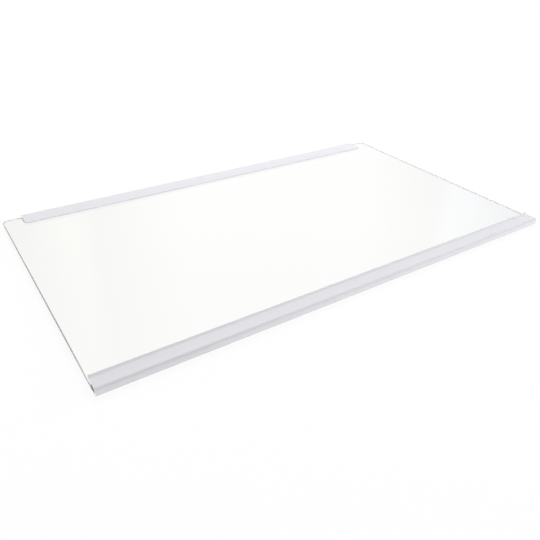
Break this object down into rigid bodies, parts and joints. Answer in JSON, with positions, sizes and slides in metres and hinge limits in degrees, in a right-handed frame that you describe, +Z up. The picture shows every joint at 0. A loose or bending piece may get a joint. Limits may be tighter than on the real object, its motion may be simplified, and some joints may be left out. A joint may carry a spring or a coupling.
{
  "type": "fridge glass shelf",
  "caption": "Rectangular clear glass shelf for a refrigerator, with a white plastic trim pushed on along its front edge and a shorter one along its rear edge.",
  "frame": {"origin": "middle of the shelf's outline, on the plane of the trims' undersides", "axes": "+X along the front edge to the right, +Y from the front trim to the rear trim, +Z up through the glass"},
  "size_m": [0.52, 0.306, 0.0094],
  "materials": {
    "clear_glass": "clear toughened float glass, polished faces and ground edges",
    "white_trim": "extruded white plastic, satin"
  },
  "bodies": {
    "root": {"glass_pane": "clear_glass", "front_trim": "white_trim", "rear_trim": "white_trim"}
  },
  "joints": []
}
